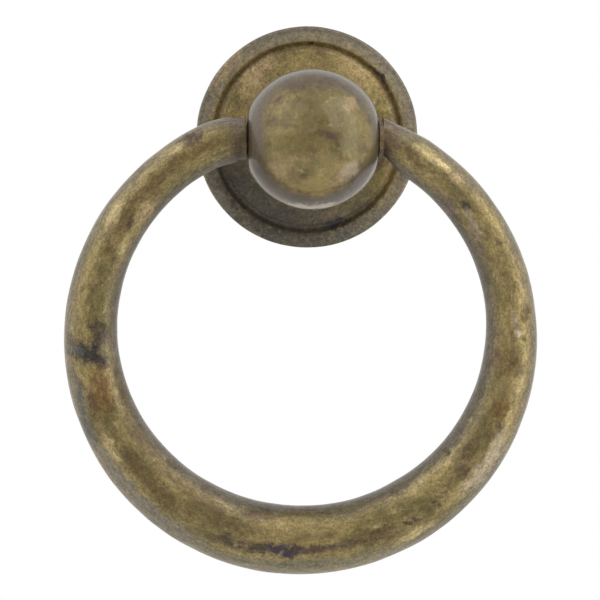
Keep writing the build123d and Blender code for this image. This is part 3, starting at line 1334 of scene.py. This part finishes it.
        # Every mark in the bright tone or the pale highlight tone is a painted highlight.
        return [
            StainOrPaintedLight(-15.8, 0.0, 2.0, 0.8, 28, Tone.MAUVE_DARK, 0.85),
            StainOrPaintedLight(-15.4, -0.4, 1.4, 0.5, 25, Tone.DARK, 0.6),
            StainOrPaintedLight(-10.1, 2.3, 2.0, 0.6, 0, Tone.MAUVE, 0.8),
            StainOrPaintedLight(-9.3, -1.6, 1.1, 1.0, 90, Tone.DARK, 0.6),
            StainOrPaintedLight(-15.1, -1.7, 3.3, 0.9, 27, Tone.RUST, 0.5),
            StainOrPaintedLight(-18.0, -1.4, 2.0, 0.6, 30, Tone.BRIGHT, 0.5),
            StainOrPaintedLight(-20.4, -3.6, 1.5, 0.8, 42, Tone.GOLD, 0.5),
            StainOrPaintedLight(-20.4, -5.6, 3.8, 0.9, 42, Tone.BROWN, 0.6),
            StainOrPaintedLight(-23.6, -9.6, 2.6, 0.9, 62, Tone.BROWN, 0.6),
            StainOrPaintedLight(-23.2, -10.4, 1.0, 0.5, 70, Tone.DARK, 0.7),
            StainOrPaintedLight(-25.8, -13.7, 0.8, 0.5, 70, Tone.BROWN, 0.7),
            StainOrPaintedLight(-25.4, -15.1, 0.8, 0.4, 80, Tone.BROWN, 0.6),
            StainOrPaintedLight(-25.2, -9.4, 1.8, 0.8, 63, Tone.BRIGHT, 0.55),
            StainOrPaintedLight(-21.3, -9.2, 1.8, 0.8, 52, Tone.TAN, 0.6),
            StainOrPaintedLight(-28.6, -17.4, 2.8, 0.9, 80, Tone.GOLD, 0.6),
            StainOrPaintedLight(-27.3, -20.4, 2.2, 1.0, 86, Tone.OLIVE, 0.5),
            StainOrPaintedLight(-27.3, -24.5, 2.0, 1.2, 90, Tone.DARK, 0.9),
            StainOrPaintedLight(-28.7, -26.7, 2.8, 1.4, -22, Tone.BLACK, 0.9),
            StainOrPaintedLight(-27.2, -27.7, 1.4, 0.9, -40, Tone.BLACK, 0.95),
            StainOrPaintedLight(-30.2, -26.4, 1.3, 0.8, -10, Tone.BLUE, 0.7),
            StainOrPaintedLight(-26.2, -25.8, 1.5, 0.6, 90, Tone.MAUVE, 0.5),
            StainOrPaintedLight(-26.7, -31.8, 3.3, 1.3, -85, Tone.RUST, 0.75),
            StainOrPaintedLight(-27.8, -33.4, 2.0, 0.6, -80, Tone.MAROON, 0.6),
            StainOrPaintedLight(-29.3, -33.4, 4.0, 0.6, -80, Tone.BLUE, 0.75),
            StainOrPaintedLight(-28.0, -37.6, 1.8, 0.6, -62, Tone.BLUE, 0.6),
            StainOrPaintedLight(-25.7, -38.7, 1.9, 0.6, -60, Tone.BRIGHT, 0.75),
            StainOrPaintedLight(-23.9, -37.1, 2.0, 0.9, -60, Tone.GOLD, 0.5),
            StainOrPaintedLight(-22.9, -40.4, 1.6, 0.9, -55, Tone.BROWN, 0.75),
            StainOrPaintedLight(-21.0, -42.6, 1.8, 1.0, -50, Tone.BROWN, 0.5),
            StainOrPaintedLight(-19.2, -45.1, 1.8, 1.1, -45, Tone.BROWN, 0.65),
            StainOrPaintedLight(-24.2, -31.8, 3.8, 0.8, -75, Tone.BROWN, 0.55),
            StainOrPaintedLight(-21.9, -37.5, 3.5, 0.8, -60, Tone.BROWN, 0.6),
            StainOrPaintedLight(-18.4, -41.7, 3.5, 0.9, -45, Tone.BROWN, 0.6),
            StainOrPaintedLight(-25.9, -40.6, 2.3, 0.9, -60, Tone.GREY, 0.8),
            StainOrPaintedLight(-23.9, -43.4, 2.6, 1.0, -52, Tone.GREY, 0.8),
            StainOrPaintedLight(-21.0, -46.4, 3.3, 1.0, -42, Tone.GREY, 0.75),
            StainOrPaintedLight(-17.1, -49.3, 3.3, 1.0, -30, Tone.GREY, 0.65),
            StainOrPaintedLight(-14.5, -45.1, 3.3, 0.9, -33, Tone.BROWN, 0.6),
            StainOrPaintedLight(-11.0, -48.4, 2.3, 0.8, -14, Tone.MAROON, 0.45),
            StainOrPaintedLight(-6.6, -47.5, 2.0, 1.0, -5, Tone.MAUVE_DARK, 0.6),
            StainOrPaintedLight(-1.5, -48.7, 5.8, 1.1, 0, Tone.GOLD, 0.7),
            StainOrPaintedLight(3.5, -48.9, 3.8, 1.1, 6, Tone.GOLD, 0.5),
            # Along the bottom of the bar: a dark streak, partly a stain and partly painted shade, and below
            # it the sage marks, painted light from below.
            StainOrPaintedLight(-10.6, -50.7, 2.5, 0.8, -17, Tone.DARK, 0.8),
            StainOrPaintedLight(-6.8, -51.6, 3.3, 0.8, -8, Tone.DARK, 0.85),
            StainOrPaintedLight(-4.1, -51.8, 2.5, 0.8, -3, Tone.VIOLET, 0.95),
            StainOrPaintedLight(0.0, -51.7, 3.0, 0.6, 2, Tone.DARK, 0.75),
            StainOrPaintedLight(3.8, -51.3, 3.0, 0.6, 8, Tone.DARK, 0.65),
            StainOrPaintedLight(7.8, -50.1, 2.8, 0.8, 18, Tone.BROWN, 0.75),
            StainOrPaintedLight(-0.3, -53.6, 5.0, 0.6, 2, Tone.SAGE, 0.75),
            StainOrPaintedLight(-7.8, -53.2, 5.0, 0.6, -6, Tone.SAGE, 0.6),
            StainOrPaintedLight(6.6, -52.7, 3.8, 0.6, 14, Tone.SAGE, 0.5),
            StainOrPaintedLight(-2.2, -47.4, 3.8, 0.3, 0, Tone.OLIVE, 0.8),
            StainOrPaintedLight(4.1, -46.6, 3.3, 0.3, 12, Tone.OLIVE, 0.6),
            StainOrPaintedLight(13.3, -49.6, 2.3, 0.5, 28, Tone.BRIGHT, 0.85),
            StainOrPaintedLight(14.6, -47.3, 2.0, 0.8, 38, Tone.BROWN, 0.45),
            StainOrPaintedLight(18.8, -44.4, 2.0, 0.6, 46, Tone.BRIGHT, 0.5),
            StainOrPaintedLight(17.4, -45.4, 2.5, 0.9, 46, Tone.GOLD, 0.7),
            StainOrPaintedLight(16.9, -39.6, 0.4, 0.4, 0, Tone.DARK, 0.85),
            StainOrPaintedLight(15.2, -46.1, 0.4, 0.3, 0, Tone.DARK, 0.85),
            StainOrPaintedLight(16.1, -46.4, 0.3, 0.3, 0, Tone.DARK, 0.8),
            StainOrPaintedLight(12.9, -47.9, 0.4, 0.3, 0, Tone.DARK, 0.8),
            StainOrPaintedLight(12.3, -48.5, 0.3, 0.3, 0, Tone.DARK, 0.8),
            StainOrPaintedLight(11.7, -48.4, 0.3, 0.3, 0, Tone.DARK, 0.85),
            StainOrPaintedLight(19.7, -39.4, 1.5, 1.0, 50, Tone.BROWN, 0.6),
            StainOrPaintedLight(19.0, -41.9, 1.0, 0.8, 50, Tone.DARK, 0.65),
            StainOrPaintedLight(23.1, -38.7, 2.3, 0.8, 60, Tone.PALE, 0.5),
            StainOrPaintedLight(21.6, -41.9, 3.8, 1.0, 50, Tone.PALE, 0.55),
            StainOrPaintedLight(23.6, -33.9, 1.6, 0.9, 70, Tone.RUST, 0.75),
            StainOrPaintedLight(23.6, -36.1, 0.8, 0.5, 60, Tone.DARK, 0.8),
            StainOrPaintedLight(24.5, -28.0, 1.9, 1.5, 80, Tone.BROWN, 0.55),
            StainOrPaintedLight(23.1, -27.5, 1.1, 0.6, 85, Tone.MAROON, 0.5),
            StainOrPaintedLight(24.6, -31.3, 1.3, 1.0, 80, Tone.GOLD, 0.5),
            StainOrPaintedLight(26.2, -30.8, 1.4, 0.5, 80, Tone.BRIGHT, 0.4),
            StainOrPaintedLight(26.8, -22.0, 1.2, 0.8, 90, Tone.BROWN, 0.75),
            StainOrPaintedLight(25.9, -24.6, 0.6, 0.3, -35, Tone.PALE, 0.95),
            StainOrPaintedLight(25.4, -23.0, 1.4, 0.4, -75, Tone.PALE, 0.5),
            StainOrPaintedLight(16.2, -3.4, 1.3, 0.6, -32, Tone.BRIGHT, 0.95),
            StainOrPaintedLight(14.2, -1.9, 1.5, 0.9, -38, Tone.BRIGHT, 0.5),
            StainOrPaintedLight(12.3, -1.7, 1.4, 0.6, -42, Tone.BROWN, 0.55),
            StainOrPaintedLight(16.4, -4.8, 1.6, 0.8, -42, Tone.OLIVE, 0.7),
            StainOrPaintedLight(18.3, -4.9, 0.9, 0.6, -45, Tone.TAN, 0.6),
            StainOrPaintedLight(19.2, -8.3, 0.8, 0.6, -60, Tone.BLACK, 0.85),
            StainOrPaintedLight(16.9, -8.2, 2.3, 0.6, -50, Tone.MAUVE, 0.7),
            StainOrPaintedLight(20.1, -10.4, 1.8, 0.5, -60, Tone.PALE, 0.5),
            StainOrPaintedLight(20.8, -12.7, 2.5, 0.6, -68, Tone.MAUVE, 0.5),
            StainOrPaintedLight(22.1, -9.7, 2.5, 0.9, -56, Tone.GOLD, 0.6),
            StainOrPaintedLight(25.1, -12.3, 1.4, 0.4, -62, Tone.GREEN, 0.6),
            StainOrPaintedLight(23.4, -13.1, 0.6, 0.4, -30, Tone.BROWN, 0.7),
            StainOrPaintedLight(24.2, -17.7, 3.0, 1.1, -80, Tone.GOLD, 0.5),
            StainOrPaintedLight(10.8, -0.1, 1.5, 0.9, -36, Tone.MAUVE, 0.5),
            StainOrPaintedLight(10.5, 1.4, 1.5, 0.6, -28, Tone.MAUVE, 0.6),
            StainOrPaintedLight(9.6, -0.2, 0.9, 1.6, 0, Tone.UMBER, 0.7),
            StainOrPaintedLight(9.0, -2.4, 0.8, 0.6, 0, Tone.BLACK, 0.8),
        ]

    def dents(self) -> list:
        """Pits and crumbs left by the casting, and small dents.

        Returns:
            The dents.
        """
        return [
            Dent(-26.7, -23.5, 0.5, 0.28, True),
            Dent(-27.0, -22.9, 0.35, -0.08),
            Dent(-27.8, -27.2, 0.9, 0.12),
            Dent(-26.7, -28.0, 0.6, 0.1),
            Dent(8.0, -48.7, 0.35, 0.15, True),
            Dent(9.8, -49.9, 0.35, 0.12, True),
            Dent(11.5, -48.4, 0.3, 0.14, True),
            Dent(12.4, -48.2, 0.35, 0.16, True),
            Dent(14.7, -46.9, 0.3, 0.14, True),
            Dent(15.2, -46.4, 0.35, 0.18, True),
            Dent(15.8, -46.7, 0.3, 0.16, True),
            Dent(16.9, -39.6, 0.4, 0.15, True),
            Dent(26.5, -25.3, 0.45, 0.26, True),
            Dent(25.9, -24.5, 0.5, -0.09),
            Dent(26.5, -22.4, 0.9, 0.13),
            Dent(19.2, -8.3, 0.7, 0.12),
            Dent(19.0, -41.9, 1.0, 0.12),
            Dent(23.7, -36.2, 0.5, 0.1),
            Dent(23.2, -12.9, 0.3, 0.12, True),
            Dent(23.7, -13.3, 0.3, 0.12, True),
            Dent(-23.4, -10.4, 0.8, 0.1),
            Dent(-3.9, -51.8, 1.0, 0.08),
        ]

    def make(self) -> bpy.types.Object:
        """Build and dress the ring.

        Returns:
            The finished object.
        """
        self.lay_out()
        work = Workpiece("ring_worn")
        self.draw(work)
        bpy.ops.mesh.select_all(action="SELECT")
        bpy.ops.mesh.normals_make_consistent(inside=False)
        work.break_edges(self.edge_wear, sharper_than=self.edge_fold)
        work.leave_edit()
        work.refine(2)
        work.roughen([Unevenness(6 * MM, 0.14 * MM), Unevenness(1.5 * MM, 0.035 * MM, 2)])
        work.press(self.dents(), self.depth_at)
        finish = AgedBrass(lightness=1.05, warmth=1.04)
        brass = finish.material("ring_brass", self.stains_and_painted_light(), self.depth_at, tarnish_and_painted_light=self.tarnish,
                                flow=self.flow)
        return work.finish("drop_ring", "ring", "ring_brass", brass)


@dataclass
class FixingScrew:
    """The slotted pan-head screw that clamps the pull from inside the drawer.

    Attributes:
        tip: Y of its tip, from the frame.
        top: Y of the top of its head, from the frame.
        head: Radius of its head, from the frame.
        crisp: Edges that fold by more degrees than this stay crisp.
    """

    tip: float
    top: float
    head: float
    seat: float = 18.0 * MM
    head_side: float = 1.2 * MM
    core: float = 1.58 * MM
    thread: float = 1.96 * MM
    pitch: float = 0.7 * MM
    thread_root: float = 0.08 * MM
    thread_width: float = 0.84
    tip_chamfer: float = 0.4 * MM
    slot_width: float = 1.2 * MM
    slot_depth: float = 1.0 * MM
    middle: float = 0.02 * MM
    edge_wear: float = 0.1 * MM
    crisp: float = 35.0
    sides: int = 48
    steps: int = 20

    @classmethod
    def from_frame(cls) -> "FixingScrew":
        """Read the screw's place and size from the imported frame.

        Returns:
            The screw.
        """
        low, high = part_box("fixing_screw")
        return cls(tip=low.y, top=high.y, head=(high.x - low.x) / 2)

    def profile(self) -> list:
        """Points of radius and height, which counts backwards into the drawer as negative.

        Returns:
            The profile from the tip to the top of the head.
        """
        points = [(self.middle, -self.tip), (self.core - self.tip_chamfer, -self.tip)]
        points += [(self.core, -self.tip - self.tip_chamfer), (self.core, -self.seat)]
        points += [(self.head, -self.seat)]
        dome = (self.head - self.middle, self.top - self.seat - self.head_side)
        for radius, height in arc((self.middle, 0), dome, 0, 90, 8):
            points.append((radius, -self.seat - self.head_side - height))
        return points

    def cut_slot(self, work: Workpiece) -> None:
        """Saw the driver's slot into the head.

        Args:
            work: The screw being made.
        """
        deselect_everything()
        bpy.ops.mesh.primitive_cube_add(size=1, location=(0, self.top, 0))
        saw = bpy.context.object
        bpy.ops.transform.resize(value=(3 * self.head, 2 * self.slot_depth, self.slot_width))
        bpy.ops.object.transform_apply(location=True, rotation=True, scale=True)
        hold(work.object)
        bpy.ops.object.modifier_add(type="BOOLEAN")
        cut = work.object.modifiers[-1]
        cut.operation = "DIFFERENCE"
        cut.object = saw
        bpy.ops.object.modifier_apply(modifier=cut.name)
        hold(saw)
        bpy.ops.object.delete()
        hold(work.object)

    def wind_thread(self) -> bpy.types.Object:
        """Wind the thread round the core as one closed wedge.

        Returns:
            The thread, not yet dressed.
        """
        deselect_everything()
        start = self.tip + self.tip_chamfer + self.pitch / 2
        # A triangle is half as tall again as the radius of the circle through its corners
        size = (self.thread - self.core + self.thread_root) / 1.5
        middle = Vector((self.thread - size, start, 0))
        turn = (0, 0, -math.pi / 2)
        bpy.ops.mesh.primitive_circle_add(vertices=3, radius=size, location=middle, rotation=turn)
        thread = bpy.context.object
        thread.name = "screw_thread"
        thread.data.name = "screw_thread"
        bpy.ops.object.transform_apply(location=True, rotation=True, scale=True)
        bpy.ops.object.mode_set(mode="EDIT")
        bpy.ops.mesh.select_all(action="SELECT")
        widen = self.thread_width * self.pitch / (math.sqrt(3) * size)
        bpy.ops.transform.resize(value=(1, widen, 1), center_override=middle)
        bpy.ops.object.mode_set(mode="OBJECT")
        hold(thread)
        turns = int((self.seat - start - self.pitch / 2) / self.pitch)
        bpy.ops.object.modifier_add(type="SCREW")
        winding = thread.modifiers[-1]
        winding.axis = "Y"
        winding.angle = 2 * math.pi
        winding.screw_offset = self.pitch
        winding.iterations = turns
        winding.steps = self.steps
        winding.render_steps = self.steps
        bpy.ops.object.modifier_apply(modifier=winding.name)
        bpy.ops.object.mode_set(mode="EDIT")
        bpy.ops.mesh.select_all(action="DESELECT")
        bpy.ops.mesh.select_mode(type="EDGE")
        bpy.ops.mesh.select_non_manifold()
        bpy.ops.mesh.fill_holes(sides=3)
        bpy.ops.mesh.select_all(action="SELECT")
        bpy.ops.mesh.normals_make_consistent(inside=False)
        bpy.ops.object.mode_set(mode="OBJECT")
        return thread

    def make(self) -> list:
        """Build and dress the screw.

        Returns:
            The finished objects.
        """
        steel = PlatedSteel().material("screw_steel")
        work = Workpiece("screw_worn")
        work.turn(self.profile(), Lathe.POST, Vector((0, 0, 0)), self.sides)
        work.close()
        work.leave_edit()
        self.cut_slot(work)
        bpy.ops.object.mode_set(mode="EDIT")
        work.break_edges(self.edge_wear, sharper_than=self.crisp)
        work.leave_edit()
        body = work.finish("mounting", "fixing_screw", "screw_steel", steel)
        thread = Workpiece("screw_thread")
        thread.object = self.wind_thread()
        wound = thread.finish("mounting", "fixing_screw", "screw_steel", steel)
        for piece in (body, wound):
            hold(piece)
            bpy.ops.object.shade_smooth_by_angle(angle=math.radians(self.crisp))
        return [body, wound]


@dataclass
class Studio:
    """Pale floor, white surroundings, soft lamps and the camera.

    Attributes:
        azimuth: Where the camera stands, in degrees round the pull; 0 is straight in front.
        elevation: How many degrees it stands above the pull.
        pivot_pixel: Where the middle of the ball falls in the picture.
        aim_height: Height that the lamps point at.
        room_from: World Y, from -1 in front to 1 behind, where the room starts to grow lighter.
        room_to: World Y where it has reached its side level.
        front_level: Brightness of the room in front.
        side_level: Brightness of the room at the sides and behind.
        white_from: World Y where reflections start to see plain white.
        white_to: World Y from which they see nothing else.
    """

    azimuth: float = -2.85
    elevation: float = 3.26
    distance: float = 0.547
    pixels_per_metre: float = 7893.0
    pivot_pixel: tuple = (312.3, 139.1)
    picture: int = 600
    sensor: float = 36.0
    floor_height: float = -0.16
    floor_reach: float = 0.42
    floor_colour: tuple = (0.82, 0.82, 0.81, 1)
    floor_roughness: float = 0.7
    aim_height: float = -0.02
    room_colour: tuple = (1.0, 0.975, 0.945, 1)
    room_from: float = -0.92
    room_to: float = -0.35
    front_level: float = 0.52
    side_level: float = 0.84
    white_from: float = 0.6
    white_to: float = 0.9

    def camera(self, pivot: Vector) -> None:
        """Stand the camera where the photograph was taken from.

        Args:
            pivot: Middle of the ball, which falls on pivot_pixel.
        """
        turn = math.radians(self.azimuth)
        rise = math.radians(self.elevation)
        back = Vector((math.sin(turn) * math.cos(rise), -math.cos(turn) * math.cos(rise), math.sin(rise)))
        right = Vector((math.cos(turn), math.sin(turn), 0))
        up = right.cross(-back)
        aside = (self.pivot_pixel[0] - self.picture / 2) / self.pixels_per_metre
        above = (self.picture / 2 - self.pivot_pixel[1]) / self.pixels_per_metre
        data = bpy.data.cameras.new("photograph")
        data.sensor_width = self.sensor
        data.lens = self.pixels_per_metre * self.distance * self.sensor / self.picture
        data.clip_start = 0.01
        data.clip_end = 20
        view = bpy.data.objects.new("photograph", data)
        view.location = pivot + back * self.distance - right * aside - up * above
        view.rotation_mode = "QUATERNION"
        view.rotation_quaternion = (-back).to_track_quat("-Z", "Y")
        bpy.context.scene.collection.objects.link(view)
        bpy.context.scene.camera = view

    def surroundings(self) -> None:
        """White to the eye and behind the pull, and as dim as a room on the camera's side."""
        world = bpy.data.worlds.new("studio")
        bpy.context.scene.world = world
        world.use_nodes = True
        tree = world.node_tree
        tree.nodes.clear()
        place = tree.nodes.new("ShaderNodeTexCoord")
        apart = tree.nodes.new("ShaderNodeSeparateXYZ")
        tree.links.new(place.outputs["Generated"], apart.inputs[0])
        spans = {}
        levels = (self.room_from, self.room_to, self.front_level, self.side_level)
        for key, values in (("room", levels), ("behind", (self.white_from, self.white_to, 0, 1))):
            span = tree.nodes.new("ShaderNodeMapRange")
            span.interpolation_type = "SMOOTHSTEP"
            tree.links.new(apart.outputs["Y"], span.inputs["Value"])
            for socket, value in zip(("From Min", "From Max", "To Min", "To Max"), values):
                span.inputs[socket].default_value = value
            spans[key] = span.outputs["Result"]
        room = tree.nodes.new("ShaderNodeBackground")
        room.inputs["Color"].default_value = self.room_colour
        tree.links.new(spans["room"], room.inputs["Strength"])
        white = tree.nodes.new("ShaderNodeBackground")
        white.inputs["Color"].default_value = (1, 1, 1, 1)
        white.inputs["Strength"].default_value = 1.0
        ray = tree.nodes.new("ShaderNodeLightPath")
        glossy, through = ray.outputs["Is Glossy Ray"], ray.outputs["Is Transmission Ray"]
        mirrored = self.combine(tree, "MAXIMUM", glossy, through)
        mirrored = self.combine(tree, "MULTIPLY", mirrored, spans["behind"])
        seen = self.combine(tree, "MAXIMUM", ray.outputs["Is Camera Ray"], mirrored)
        blend = tree.nodes.new("ShaderNodeMixShader")
        tree.links.new(seen, blend.inputs["Fac"])
        tree.links.new(room.outputs[0], blend.inputs[1])
        tree.links.new(white.outputs[0], blend.inputs[2])
        out = tree.nodes.new("ShaderNodeOutputWorld")
        tree.links.new(blend.outputs[0], out.inputs["Surface"])

    @staticmethod
    def combine(tree: bpy.types.NodeTree, operation: str, first: object, second: object) -> object:
        """Work out one number from two in the world's nodes.

        Args:
            tree: The world's node tree.
            operation: Blender's name of the operation.
            first: First socket.
            second: Second socket.

        Returns:
            The result's socket.
        """
        made = tree.nodes.new("ShaderNodeMath")
        made.operation = operation
        tree.links.new(first, made.inputs[0])
        tree.links.new(second, made.inputs[1])
        return made.outputs[0]

    def lamp(self, name: str, place: tuple, size: tuple, power: float, colour: tuple, target: Vector) -> None:
        """Hang one soft lamp.

        Args:
            name: Name of the lamp.
            place: Where it hangs.
            size: Width and height.
            power: Its watts.
            colour: Its colour.
            target: What it points at.
        """
        data = bpy.data.lights.new(name, type="AREA")
        data.shape = "RECTANGLE"
        data.size, data.size_y = size
        data.energy = power
        data.color = colour
        hung = bpy.data.objects.new(name, data)
        hung.location = place
        hung.rotation_mode = "QUATERNION"
        hung.rotation_quaternion = (target - Vector(place)).to_track_quat("-Z", "Y")
        bpy.context.scene.collection.objects.link(hung)

    def lamps(self, target: Vector) -> None:
        """Hang the key lamp at the upper right and weaker ones round it.

        Args:
            target: What they point at.
        """
        self.lamp("upper_right", (0.36, -0.26, 0.36), (0.5, 0.5), 0.88, (1.0, 0.98, 0.95), target)
        self.lamp("upper_left", (-0.38, -0.26, 0.32), (0.5, 0.5), 0.52, (1.0, 0.985, 0.96), target)
        self.lamp("lower_right", (0.48, -0.26, -0.06), (0.3, 0.4), 0.4, (1.0, 0.985, 0.96), target)

    def floor(self) -> None:
        """Lay the pale floor, well below the pull."""
        deselect_everything()
        bpy.ops.mesh.primitive_circle_add(vertices=96, radius=self.floor_reach, fill_type="NGON",
                                          location=(0, 0, self.floor_height))
        slab = bpy.context.object
        slab.name = "floor"
        graph = Graph("floor_pale")
        graph.feed(graph.shader.inputs["Base Color"], self.floor_colour)
        graph.feed(graph.shader.inputs["Roughness"], self.floor_roughness)
        slab.data.materials.append(graph.material)


def main() -> None:
    """Build the pull piece by piece, then the studio round it."""
    logging.basicConfig(level=logging.INFO, format="%(name)s: %(message)s")
    bpy.context.scene.view_settings.view_transform = "Standard"
    post = BallPost.from_frame()
    Backplate.from_frame().make()
    post.make()
    Ring.from_frame().make()
    FixingScrew.from_frame().make()
    studio = Studio()
    studio.camera(post.pivot)
    studio.surroundings()
    studio.lamps(Vector((0, post.pivot.y, studio.aim_height)))
    studio.floor()


if __name__ == "__main__":
    main()
